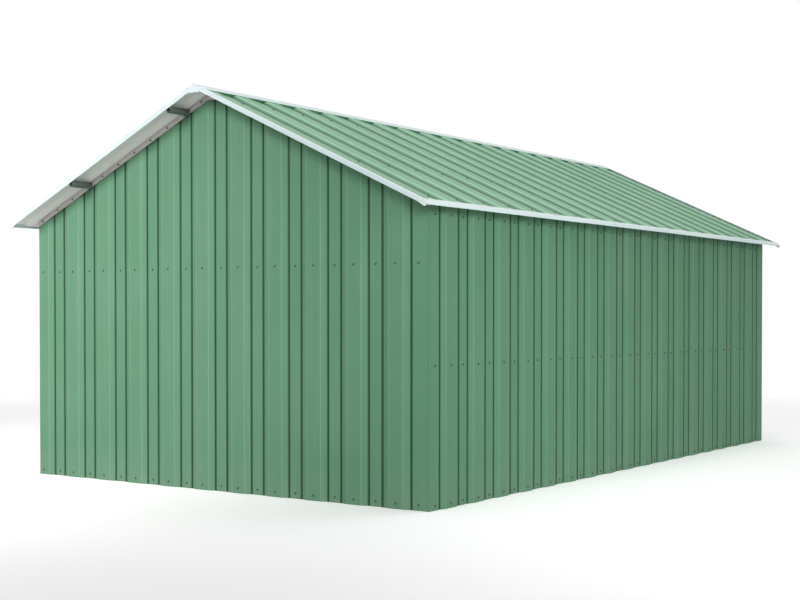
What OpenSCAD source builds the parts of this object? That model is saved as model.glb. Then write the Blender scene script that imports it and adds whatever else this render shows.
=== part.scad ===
// Metal garage with a gable roof: a frame of square tubes clad in trapezoidal steel sheet.
// X runs across the building, Y along it and Z up. The origin is on the ground at the centre.

/* [Building] */
// Width over the crests of the two long walls
body_width = 4000; // [3400:10:5000]
// Length over the crests of the two gable walls
body_length = 6500; // [5200:10:8000]
// Height of the top line of the cladding at the long walls
eave_height = 2112; // [1700:2:2600]
// Slope of the roof in degrees
roof_pitch = 24.9; // [18:0.1:32]
// How far the roof reaches past each gable wall
verge_overhang = 215; // [150:5:300]
// How far the roof reaches past each long wall
eave_overhang = 99; // [70:1:160]

/* [Cladding] */
// Thickness of the cladding sheet
sheet_t = 0.5; // [0.4:0.1:1.2]
// Depth of a rib, from its crest to the valley beside it
rib_depth = 20; // [12:1:30]
// Width of the flat crest of a rib
crest_w = 129; // [80:1:180]
// Width of the flat valley between two ribs
valley_w = 121; // [80:1:180]
// Width of the sloping web between a crest and a valley
web_w = 58; // [30:1:80]
// Distance from a gable wall's left end to its first valley
gable_rib_start = 174; // [60:1:300]
// Distance from the gable crests to a long wall's first valley
side_rib_start = 28; // [22:1:60]

/* [Frame] */
// Width of the square frame tube
tube_w = 40; // [30:1:60]
// Wall thickness of the frame tube
tube_wall = 2; // [1.5:0.5:4]
// Height of the bottom rails
sill_h = 70; // [50:5:100]
// Height of the middle of the eave rails
rail_z = 2058; // [1500:1:2300]
// Height of the middle of the long walls' rails
side_girt_z = 1006; // [600:1:1300]
// Height of the middle of the gable walls' rails
gable_girt_z = 1722; // [1200:1:1850]
// Distance of the two inner frames from the middle of the building
inner_frame_y = 1080; // [800:10:1400]
// Distance of the upper purlins from the ridge line
upper_purlin_x = 275; // [200:5:400]
// Distance of the lower purlins from the ridge line
lower_purlin_x = 1372; // [1000:2:1500]

/* [Trims] */
// Thickness of the trims
trim_t = 0.8; // [0.5:0.1:1.5]
// Height from the cladding's top line to the roof sheets
roof_seat = 42; // [20:1:60]
// Height of the verge trims' outer face
verge_leg = 35; // [25:1:60]
// Width of the verge and eave trims' top flange
trim_flange = 40; // [25:1:80]
// How far the drip edge reaches out
drip_out = 20; // [5:1:40]
// How far the drip edge reaches down
drip_down = 30; // [15:1:50]
// Half width of the level cut in the strips over the gables, under the ridge
strip_flat = 55; // [20:1:100]
// Half width of the ridge cap
cap_half = 105; // [70:5:180]
// Half width of the folded end of the ridge cap
cap_end_half = 52; // [30:1:90]
// Height of the folded end of the ridge cap
cap_end_h = 66; // [40:1:120]

/* [Hidden] */
// Clearance between pieces that are screwed or bolted together
seat = 0.2;
// Clearance around a purlin where it passes through a gable wall
notch = 1;
// Gap between the top of the cladding and the roof sheets
wall_gap = 2;

rib_pitch = crest_w + valley_w + 2 * web_w;
rise = tan(roof_pitch);
plumb = 1 / cos(roof_pitch);
half_w = body_width / 2;
half_l = body_length / 2;
frame_half_w = half_w - rib_depth - sheet_t - seat;
frame_half_l = half_l - rib_depth - sheet_t - seat;
post_half_w = frame_half_w - tube_w - seat;
post_half_l = frame_half_l - tube_w - seat;
verge_half_l = half_l + verge_overhang;
roof_half_l = verge_half_l - trim_t - seat;
roof_half_w = half_w + eave_overhang;
rail_top = rail_z + tube_w / 2;
purlin_top = roof_seat - seat;
wall_top = roof_seat - wall_gap;
rafter_top = purlin_top - (tube_w + seat) * plumb;
sheet_top = roof_seat + (rib_depth + sheet_t) * plumb;
eave_trim_top = sheet_top + seat + trim_t * plumb;
verge_trim_top = eave_trim_top + seat + trim_t * plumb;
cap_top = verge_trim_top + seat + trim_t * plumb;
big = 2 * (body_width + body_length);

GREEN = [0.44, 0.60, 0.49];
ROOF_GREEN = [0.56, 0.74, 0.62];
ZINC = [0.72, 0.73, 0.74];
TRIM = [0.88, 0.90, 0.91];

// Height of the cladding's top line at a distance x from the ridge line
function line_z(x) = eave_height + (half_w - abs(x)) * rise;

// Depth of the sheet below its crests at s, where a valley starts at s0
function depth_at(s, s0) =
    let (u = ((s - s0) % rib_pitch + rib_pitch) % rib_pitch)
    u <= valley_w ? rib_depth
    : u < valley_w + web_w ? rib_depth * (1 - (u - valley_w) / web_w)
    : u <= valley_w + web_w + crest_w ? 0
    : rib_depth * (u - valley_w - web_w - crest_w) / web_w;

// The bends of the sheet between the stations a and b
function bends(a, b, s0) = [
    for (k = [floor((a - s0) / rib_pitch) - 1 : ceil((b - s0) / rib_pitch)])
    for (o = [0, valley_w, valley_w + web_w, valley_w + web_w + crest_w])
    let (s = s0 + k * rib_pitch + o)
    if (s > a + 1 && s < b - 1) s
];

// Outline of a ribbed sheet: stations along X, crests at y = 0 and valleys at y = rib_depth
module sheet_outline(a, b, s0) {
    stations = concat([a], bends(a, b, s0), [b]);
    count = len(stations);
    outer = [for (s = stations) [s, depth_at(s, s0)]];
    inner = [for (i = [count - 1 : -1 : 0]) [stations[i], depth_at(stations[i], s0) + sheet_t]];
    polygon(concat(outer, inner));
}

// A square or rectangular tube along X, with open ends
module tube(length, w = tube_w, h = tube_w) {
    translate([-length / 2, -w / 2, -h / 2])
        difference() {
            cube([length, w, h]);
            translate([-1, tube_wall, tube_wall])
                cube([length + 2, w - 2 * tube_wall, h - 2 * tube_wall]);
        }
}

// An area drawn across the building, given a length along Y from y0 to y1
module along_y(y0, y1) {
    translate([0, y1, 0])
        rotate([90, 0, 0])
            linear_extrude(y1 - y0)
                children();
}

// One slope's band between two heights above the cladding's top line, from x0 to x1
module band(x0, x1, low, high) {
    polygon([
        [x0, line_z(x0) + low], [x1, line_z(x1) + low],
        [x1, line_z(x1) + high], [x0, line_z(x0) + high]
    ]);
}

// Both slopes' band between two heights, out to x on each side
module chevron(x, low, high) {
    polygon([
        [-x, line_z(x) + low], [0, line_z(0) + low], [x, line_z(x) + low],
        [x, line_z(x) + high], [0, line_z(0) + high], [-x, line_z(x) + high]
    ]);
}

module left_side() { mirror([1, 0, 0]) children(); }
module back_side() { rotate([0, 0, 180]) children(); }
module back_mirror() { mirror([0, 1, 0]) children(); }

// Purlin section, with its top face on the roof sheets' underside, widened by grow
module purlin_section(x, grow = 0) {
    translate([x, line_z(x) + purlin_top])
        rotate(-roof_pitch)
            translate([-tube_w / 2 - grow, -tube_w - grow])
                square([tube_w + 2 * grow, tube_w + 2 * grow + (grow > 0 ? roof_seat : 0)]);
}

// A purlin that reaches out under the front verge and ends at the back gable
module purlin(x) {
    color(ZINC)
        difference() {
            along_y(-roof_half_l + seat, frame_half_l) purlin_section(x);
            along_y(-verge_half_l, verge_half_l) purlin_section(x, -tube_wall);
        }
}

// Openings that let the two left purlins through the front gable
module purlin_notches() {
    for (x = [upper_purlin_x, lower_purlin_x])
        along_y(-verge_half_l, verge_half_l)
            mirror([1, 0]) purlin_section(x, notch);
}

module gable_sill() {
    color(ZINC)
        translate([0, -frame_half_l + tube_w / 2, sill_h / 2])
            tube(2 * frame_half_w, tube_w, sill_h);
}

module side_sill() {
    color(ZINC)
        translate([frame_half_w - tube_w / 2, 0, sill_h / 2])
            rotate([0, 0, 90]) tube(2 * (frame_half_l - tube_w - seat), tube_w, sill_h);
}

module post(y) {
    color(ZINC)
        translate([post_half_w - tube_w / 2, y, rail_top / 2])
            rotate([0, 90, 0]) tube(rail_top);
}

module side_rail(z) {
    color(ZINC)
        translate([frame_half_w - tube_w / 2, 0, z])
            rotate([0, 0, 90]) tube(2 * frame_half_l);
}

module gable_girt() {
    color(ZINC)
        translate([0, -frame_half_l + tube_w / 2, gable_girt_z])
            tube(2 * (frame_half_w - tube_w - seat));
}

// A rafter of the right slope, seated on the eave rail; y is its middle
module rafter(y) {
    color(ZINC)
        difference() {
            intersection() {
                along_y(y - tube_w / 2, y + tube_w / 2)
                    band(seat / 2, frame_half_w, rafter_top - tube_w * plumb, rafter_top);
                translate([0, -big / 2, rail_top + seat]) cube(big);
            }
            along_y(y - tube_w / 2 + tube_wall, y + tube_w / 2 - tube_wall)
                band(-1, frame_half_w + 1, rafter_top - (tube_w - tube_wall) * plumb,
                     rafter_top - tube_wall * plumb);
        }
}

module gable_wall() {
    color(GREEN)
        difference() {
            intersection() {
                translate([-half_w, -half_l, 0])
                    linear_extrude(line_z(0) + roof_seat)
                        sheet_outline(0, body_width - rib_depth, gable_rib_start);
                along_y(-verge_half_l, 0)
                    polygon([
                        [-half_w, 0], [half_w, 0],
                        [half_w, line_z(half_w) + wall_top],
                        [0, line_z(0) + wall_top],
                        [-half_w, line_z(half_w) + wall_top]
                    ]);
            }
            purlin_notches();
        }
}

// The right wall; its first valley stands at the front corner
module side_wall() {
    lap = rib_depth - depth_at(body_width - rib_depth, gable_rib_start);
    start = rib_depth - lap + sheet_t + seat;
    color(GREEN)
        translate([half_w, -half_l, 0])
            linear_extrude(eave_height + wall_top)
                rotate(90)
                    sheet_outline(start, body_length - sheet_t - seat, side_rib_start);
}

// Strip over the top edge of the front gable, cut where the purlins pass
module top_strip() {
    color(ZINC)
        difference() {
            along_y(-half_l - seat - trim_t, -half_l - seat)
                difference() {
                    chevron(half_w, 0, wall_top);
                    translate([-strip_flat, line_z(0) - big])
                        square([2 * strip_flat, big - strip_flat * rise]);
                }
            purlin_notches();
        }
}

module roof_slope() {
    depth = rib_depth + sheet_t;
    length = (roof_half_w - trim_t - seat) * plumb - depth * rise;
    color(ROOF_GREEN)
        translate([0, 0, line_z(0) + roof_seat])
            rotate([0, roof_pitch, 0])
                translate([seat, 0, depth])
                    rotate([90, 0, 90])
                        linear_extrude(length - seat)
                            mirror([0, 1])
                                translate([-roof_half_l, 0])
                                    sheet_outline(0, 2 * roof_half_l, crest_w + web_w);
}

// Right front verge trim: an outer face and a flange over the last crest
module verge_trim() {
    color(TRIM)
        union() {
            along_y(-verge_half_l, -verge_half_l + trim_t)
                band(seat / 2, roof_half_w, verge_trim_top - verge_leg, verge_trim_top);
            along_y(-verge_half_l, -verge_half_l + trim_flange)
                band(seat / 2, roof_half_w, verge_trim_top - trim_t * plumb, verge_trim_top);
        }
}

// Right eave trim: a flange over the crests and a drip edge, bent from one strip
module eave_trim() {
    edge = [roof_half_w, line_z(roof_half_w) + eave_trim_top];
    back = [-trim_flange, trim_flange * rise];
    drip = [drip_out, -drip_down];
    flange_in = -[sin(roof_pitch), cos(roof_pitch)];
    drip_in = -[drip_down, drip_out] / norm(drip);
    mitre = (flange_in + drip_in) / (1 + flange_in * drip_in);
    color(TRIM)
        along_y(-roof_half_l, roof_half_l)
            polygon([
                edge + back, edge, edge + drip,
                edge + drip + trim_t * drip_in,
                edge + trim_t * mitre,
                edge + back + trim_t * flange_in
            ]);
}

module ridge_cap() {
    color(TRIM)
        union() {
            along_y(-verge_half_l - trim_t - seat, verge_half_l + trim_t + seat)
                chevron(cap_half, cap_top - trim_t * plumb, cap_top);
            for (end = [0, 1])
                mirror([0, end, 0])
                    along_y(-verge_half_l - trim_t - seat, -verge_half_l - seat)
                        intersection() {
                            chevron(cap_end_half, cap_top - big, cap_top);
                            translate([-cap_end_half, line_z(0) + cap_top - cap_end_h])
                                square([2 * cap_end_half, cap_end_h]);
                        }
        }
}

corner_y = post_half_l - tube_w / 2;
gable_rafter_y = frame_half_l - tube_w / 2;

gable_sill();  // front_sill
back_side() gable_sill();  // back_sill
left_side() side_sill();  // left_sill
side_sill();  // right_sill
left_side() post(-corner_y);  // front_left_post
post(-corner_y);  // front_right_post
left_side() post(corner_y);  // back_left_post
post(corner_y);  // back_right_post
left_side() post(-inner_frame_y);  // left_post_1
left_side() post(inner_frame_y);  // left_post_2
post(-inner_frame_y);  // right_post_1
post(inner_frame_y);  // right_post_2
left_side() side_rail(rail_z);  // left_eave_rail
side_rail(rail_z);  // right_eave_rail
left_side() side_rail(side_girt_z);  // left_girt
side_rail(side_girt_z);  // right_girt
gable_girt();  // front_girt
back_side() gable_girt();  // back_girt
left_side() rafter(-gable_rafter_y);  // front_left_rafter
rafter(-gable_rafter_y);  // front_right_rafter
left_side() rafter(gable_rafter_y);  // back_left_rafter
rafter(gable_rafter_y);  // back_right_rafter
left_side() rafter(-inner_frame_y);  // left_rafter_1
left_side() rafter(inner_frame_y);  // left_rafter_2
rafter(-inner_frame_y);  // right_rafter_1
rafter(inner_frame_y);  // right_rafter_2
left_side() purlin(lower_purlin_x);  // left_lower_purlin
left_side() purlin(upper_purlin_x);  // left_upper_purlin
back_mirror() purlin(lower_purlin_x);  // right_lower_purlin
back_mirror() purlin(upper_purlin_x);  // right_upper_purlin
gable_wall();  // front_wall
back_side() gable_wall();  // back_wall
back_side() side_wall();  // left_wall
side_wall();  // right_wall
top_strip();  // front_top_strip
back_side() top_strip();  // back_top_strip
left_side() roof_slope();  // left_roof
roof_slope();  // right_roof
left_side() verge_trim();  // front_left_verge
verge_trim();  // front_right_verge
back_side() verge_trim();  // back_left_verge
back_mirror() verge_trim();  // back_right_verge
left_side() eave_trim();  // left_eave_trim
eave_trim();  // right_eave_trim
ridge_cap();
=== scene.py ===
"""A metal garage: trapezoidal steel cladding, pale trims and screws around a frame of square tubes.

Everything is in metres, with Z up and the origin on the ground at the centre of the building.
"""

import logging
import math
from collections.abc import Callable, Iterable, Sequence
from dataclasses import dataclass, field
from enum import Enum

import bmesh
import bpy
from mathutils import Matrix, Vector, noise


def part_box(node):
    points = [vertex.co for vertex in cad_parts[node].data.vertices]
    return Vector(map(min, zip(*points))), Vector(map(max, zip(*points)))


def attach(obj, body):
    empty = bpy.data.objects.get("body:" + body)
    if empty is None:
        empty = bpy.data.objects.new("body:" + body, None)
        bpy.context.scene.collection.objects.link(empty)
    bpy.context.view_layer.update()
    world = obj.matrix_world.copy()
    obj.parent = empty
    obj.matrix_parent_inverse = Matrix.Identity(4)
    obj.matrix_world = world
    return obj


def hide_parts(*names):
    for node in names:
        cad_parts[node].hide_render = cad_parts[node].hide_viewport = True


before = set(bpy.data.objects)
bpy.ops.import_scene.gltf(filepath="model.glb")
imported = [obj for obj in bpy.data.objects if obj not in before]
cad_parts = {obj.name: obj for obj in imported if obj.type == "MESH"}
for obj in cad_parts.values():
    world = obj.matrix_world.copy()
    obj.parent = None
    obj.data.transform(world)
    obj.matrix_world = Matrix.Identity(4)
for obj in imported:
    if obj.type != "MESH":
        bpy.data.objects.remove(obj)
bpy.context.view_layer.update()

LOG = logging.getLogger("garage")
BODY = "root"
SHADE_AND_HIGHLIGHT_ATTRIBUTE = "crease"
MM = 0.001
NEAR = 1e-6  # closest that two points of a line may lie
EDGE_DROP = 2 * MM  # how far a wall sheet stops below the wall's top
SCREW_STAND = 1.0 * MM  # how far a wall screw's foot stands out from the plain sheet

Point2 = tuple[float, float]
Placer = Callable[[float, float, float], Vector]


class Side(Enum):
    """The two slopes and long walls, by the sign of X."""

    LEFT = -1
    RIGHT = 1


class End(Enum):
    """The two gables, by the sign of Y."""

    FRONT = -1
    BACK = 1


# ---------------------------------------------------------------- finishes


def linear(red: int, green: int, blue: int) -> tuple[float, float, float, float]:
    """Turn an 8-bit screen colour into a linear colour.

    Args:
        red: Red from 0 to 255.
        green: Green from 0 to 255.
        blue: Blue from 0 to 255.

    Returns:
        The linear colour with an alpha of 1.
    """
    def channel(value: float) -> float:
        """Return one linear channel."""
        return value / 12.92 if value <= 0.04045 else ((value + 0.055) / 1.055) ** 2.4

    return channel(red / 255), channel(green / 255), channel(blue / 255), 1.0


class Nodes:
    """A short way to write a material's node tree."""

    def __init__(self, name: str) -> None:
        """Start an empty material.

        Args:
            name: The material's name.
        """
        self.material = bpy.data.materials.new(name)
        self.material.use_nodes = True
        self.tree = self.material.node_tree
        self.tree.nodes.clear()
        self.output = self.tree.nodes.new("ShaderNodeOutputMaterial")

    def add(self, kind: str, **settings: object) -> bpy.types.Node:
        """Add a node.

        Args:
            kind: The node's type without its ShaderNode prefix.
            settings: Properties to set on it.

        Returns:
            The node.
        """
        node = self.tree.nodes.new("ShaderNode" + kind)
        for key, value in settings.items():
            setattr(node, key, value)
        return node

    def link(self, source: object, target: object) -> None:
        """Join an output socket to an input socket."""
        self.tree.links.new(source, target)

    def noise(self, vector: object, scale: float, detail: float = 3.0) -> object:
        """Return the factor of a noise texture at that scale."""
        node = self.add("TexNoise")
        node.inputs["Scale"].default_value = scale
        node.inputs["Detail"].default_value = detail
        self.link(vector, node.inputs["Vector"])
        return node.outputs["Fac"]

    def stretch(self, vector: object, scale: Sequence[float]) -> object:
        """Return a vector scaled along each axis."""
        node = self.add("Mapping")
        node.inputs["Scale"].default_value = scale
        self.link(vector, node.inputs["Vector"])
        return node.outputs["Vector"]

    def remap(self, value: object, low: float, high: float, to_low: float, to_high: float) -> object:
        """Return a value moved from one range to another, held at its ends."""
        node = self.add("MapRange")
        for key, number in zip(("From Min", "From Max", "To Min", "To Max"), (low, high, to_low, to_high)):
            node.inputs[key].default_value = number
        self.link(value, node.inputs["Value"])
        return node.outputs["Result"]

    def times(self, first: object, second: object) -> object:
        """Return the product of two values."""
        node = self.add("Math", operation="MULTIPLY")
        self.link(first, node.inputs[0])
        self.link(second, node.inputs[1])
        return node.outputs[0]

    def blend(self, factor: object, first: object, second: object) -> object:
        """Mix two colours; each is a socket or a linear colour."""
        node = self.add("Mix", data_type="RGBA")
        self.link(factor, node.inputs[0])
        for socket, value in ((node.inputs[6], first), (node.inputs[7], second)):
            if isinstance(value, tuple):
                socket.default_value = value
            else:
                self.link(value, socket)
        return node.outputs[2]

    def bump(self, height: object, strength: float, distance: float, below: object = None) -> object:
        """Return a normal that is bumped by a height."""
        node = self.add("Bump")
        node.inputs["Strength"].default_value = strength
        node.inputs["Distance"].default_value = distance
        self.link(height, node.inputs["Height"])
        if below is not None:
            self.link(below, node.inputs["Normal"])
        return node.outputs["Normal"]


@dataclass(frozen=True)
class PaintedSteel:
    """Coil-coated steel: an even coat with faint streaks, dust near the ground, and either painted shade and
    painted highlight at the rib bends or worn, lighter bends.
    """

    name: str
    colour: tuple[float, float, float, float]
    worn_and_highlight: tuple[float, float, float, float]
    dust: tuple[float, float, float, float]
    shade: tuple[float, float, float, float] | None = None
    roughness: float = 0.42
    specular: float = 0.4
    streaks: float = 0.10
    highlight_strength: float = 0.4
    dust_amount: float = 0.25
    dust_height: float = 0.30

    def make(self) -> bpy.types.Material:
        """Return the material."""
        n = Nodes(self.name)
        place = n.add("TexCoord").outputs["Object"]
        cloudy = n.remap(n.noise(place, 1.1), 0.35, 0.65, 0.0, 0.10)
        tone = n.blend(cloudy, self.colour, self.worn_and_highlight)
        runs = n.noise(n.stretch(place, (26.0, 26.0, 0.8)), 1.0, 4.0)
        tone = n.blend(n.remap(runs, 0.52, 0.72, 0.0, self.streaks), tone, self.dust)
        height = n.add("SeparateXYZ")
        n.link(place, height.inputs[0])
        low = n.remap(height.outputs["Z"], 0.0, self.dust_height, self.dust_amount, 0.0)
        spread = n.remap(n.noise(place, 9.0, 6.0), 0.3, 0.7, 0.2, 1.0)
        tone = n.blend(n.times(low, spread), tone, self.dust)
        if self.shade:
            crease = n.add("Attribute", attribute_name=SHADE_AND_HIGHLIGHT_ATTRIBUTE).outputs["Fac"]
            # Painted highlight: a crease value below 0 lightens crest edges toward the worn tone.
            tone = n.blend(n.remap(crease, -1.0, 0.0, self.highlight_strength, 0.0), tone, self.worn_and_highlight)
            # Painted shade: the crease value darkens the paint toward the shade colour beside each valley.
            tone = n.blend(n.remap(crease, 0.0, 1.0, 0.0, 1.0), tone, self.shade)
        else:
            edge = n.remap(n.add("NewGeometry").outputs["Pointiness"], 0.52, 0.60, 0.0, 0.35)
            tone = n.blend(edge, tone, self.worn_and_highlight)
        shader = n.add("BsdfPrincipled")
        n.link(tone, shader.inputs["Base Color"])
        gloss = n.remap(n.noise(place, 14.0, 4.0), 0.3, 0.7, self.roughness - 0.05, self.roughness + 0.07)
        n.link(gloss, shader.inputs["Roughness"])
        shader.inputs["Specular IOR Level"].default_value = self.specular
        grain = n.bump(n.noise(place, 900.0, 2.0), 0.10, 0.0002)
        n.link(n.bump(n.noise(place, 5.0, 2.0), 0.10, 0.004, grain), shader.inputs["Normal"])
        n.link(shader.outputs[0], n.output.inputs["Surface"])
        return n.material


@dataclass(frozen=True)
class Zinc:
    """Galvanised steel with a fine spangle and dull, uneven patches."""

    name: str
    light: tuple[float, float, float, float]
    dark: tuple[float, float, float, float]
    metallic: float = 0.75
    roughness: float = 0.44
    spangle: float = 70.0

    def make(self) -> bpy.types.Material:
        """Return the material."""
        n = Nodes(self.name)
        place = n.add("TexCoord").outputs["Object"]
        cells = n.add("TexVoronoi")
        cells.inputs["Scale"].default_value = self.spangle
        n.link(place, cells.inputs["Vector"])
        flake = n.add("SeparateColor")
        n.link(cells.outputs["Color"], flake.inputs[0])
        tone = n.blend(n.remap(flake.outputs[0], 0.0, 1.0, 0.0, 0.35), self.light, self.dark)
        tone = n.blend(n.remap(n.noise(place, 3.0, 5.0), 0.4, 0.7, 0.0, 0.5), tone, self.dark)
        shader = n.add("BsdfPrincipled")
        n.link(tone, shader.inputs["Base Color"])
        shader.inputs["Metallic"].default_value = self.metallic
        dull = n.remap(n.noise(place, 18.0, 4.0), 0.3, 0.7, self.roughness - 0.08, self.roughness + 0.12)
        n.link(dull, shader.inputs["Roughness"])
        n.link(n.bump(flake.outputs[1], 0.08, 0.0004), shader.inputs["Normal"])
        n.link(shader.outputs[0], n.output.inputs["Surface"])
        return n.material


@dataclass(frozen=True)
class Rubber:
    """The black ring under a screw's washer."""

    name: str
    colour: tuple[float, float, float, float]

    def make(self) -> bpy.types.Material:
        """Return the material."""
        n = Nodes(self.name)
        place = n.add("TexCoord").outputs["Object"]
        shader = n.add("BsdfPrincipled")
        grey = n.blend(n.remap(n.noise(place, 60.0), 0.4, 0.7, 0.0, 0.4), self.colour, linear(70, 72, 70))
        n.link(grey, shader.inputs["Base Color"])
        n.link(n.remap(n.noise(place, 200.0), 0.3, 0.7, 0.6, 0.85), shader.inputs["Roughness"])
        n.link(n.bump(n.noise(place, 1500.0), 0.2, 0.0003), shader.inputs["Normal"])
        n.link(shader.outputs[0], n.output.inputs["Surface"])
        return n.material


class Finishes:
    """Every finish on the garage, made once."""

    def __init__(self) -> None:
        """Make the materials."""
        # For wall and roof the second colour is both the worn tone and the painted highlight on crest edges,
        # and the fourth is the painted shade beside each valley.
        self.wall = PaintedSteel(
            "wall_green", linear(84, 127, 98), linear(124, 158, 135), linear(132, 148, 134),
            linear(14, 50, 30), roughness=0.55, specular=0.12).make()
        self.roof = PaintedSteel(
            "roof_green", linear(88, 143, 107), linear(160, 204, 176), linear(140, 166, 146),
            linear(6, 44, 24), roughness=0.42, specular=0.2, dust_amount=0.0, highlight_strength=0.8).make()
        self.back_coat = PaintedSteel(
            "back_coat_grey", linear(222, 220, 217), linear(230, 227, 224), linear(196, 192, 188),
            roughness=0.5, streaks=0.2).make()
        self.trim = PaintedSteel(
            "trim_white", linear(182, 200, 200), linear(206, 218, 218), linear(162, 176, 176),
            roughness=0.34, dust_amount=0.0, streaks=0.12).make()
        self.frame = Zinc("frame_zinc", linear(112, 120, 115), linear(80, 90, 84), 0.35).make()
        self.strip = Zinc("strip_zinc", linear(206, 200, 200), linear(184, 178, 178), 0.25, 0.5, 110.0).make()
        self.screw = Zinc("screw_head", linear(70, 96, 78), linear(44, 62, 50), 0.3, 0.45, 300.0).make()
        self.trim_screw = Zinc("trim_screw_head", linear(196, 204, 202), linear(170, 178, 176),
                               0.3, 0.45, 300.0).make()
        self.rubber = Rubber("washer_rubber", linear(34, 44, 38)).make()


# ---------------------------------------------------------------- outlines and meshes


def rounded(points: Sequence[Point2], radius: float, steps: int = 4) -> list[Point2]:
    """Round the inner corners of an open line.

    Args:
        points: The line's corners.
        radius: Radius of each bend, less where the line is too short for it.
        steps: Number of stretches in a bend.

    Returns:
        The line with an arc at each corner.
    """
    line = [Vector(p) for p in points]
    out = [points[0]]
    for before, corner, after in zip(line, line[1:], line[2:]):
        a, b = (before - corner), (after - corner)
        turn = math.pi - a.angle(b)
        if turn < 0.02:
            out.append(tuple(corner))
            continue
        reach = min(radius * math.tan(turn / 2), 0.45 * a.length, 0.45 * b.length)
        bend = reach / math.tan(turn / 2)
        start = corner + a.normalized() * reach
        middle = (a.normalized() + b.normalized()).normalized() * (bend / math.cos(turn / 2))
        centre = corner + middle
        spin = math.copysign(turn, a.x * b.y - a.y * b.x) * -1
        arm = start - centre
        for i in range(steps + 1):
            angle = spin * i / steps
            cos, sin = math.cos(angle), math.sin(angle)
            out.append((centre.x + arm.x * cos - arm.y * sin, centre.y + arm.x * sin + arm.y * cos))
    out.append(points[-1])
    return out


def offset(points: Sequence[Point2], distance: float) -> list[Point2]:
    """Move an open line sideways, to its left for a positive distance.

    Args:
        points: The line.
        distance: How far to move it.

    Returns:
        The moved line, with as many points.
    """
    line = [Vector(p) for p in points]
    out = []
    for i, p in enumerate(line):
        ahead = (line[min(i + 1, len(line) - 1)] - p)
        behind = (p - line[max(i - 1, 0)])
        first = behind.normalized() if behind.length > 1e-9 else ahead.normalized()
        last = ahead.normalized() if ahead.length > 1e-9 else first
        normal = Vector((-(first.y + last.y), first.x + last.x)).normalized()
        half = max(0.5, normal.dot(Vector((-first.y, first.x))))
        out.append(tuple(p + normal * (distance / half)))
    return out


def with_points(line: Sequence[Point2], marks: Iterable[float]) -> list[Point2]:
    """Add a point to a line at each mark that lies within one of its stretches.

    Args:
        line: Points, as way along and depth.
        marks: Ways along.

    Returns:
        The line with the new points.
    """
    out = list(line)
    for mark in marks:
        for i in range(len(out) - 1):
            (s0, d0), (s1, d1) = out[i], out[i + 1]
            if s0 + NEAR < mark < s1 - NEAR:
                out.insert(i + 1, (mark, d0 + (d1 - d0) * (mark - s0) / (s1 - s0)))
                break
    return out


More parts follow.
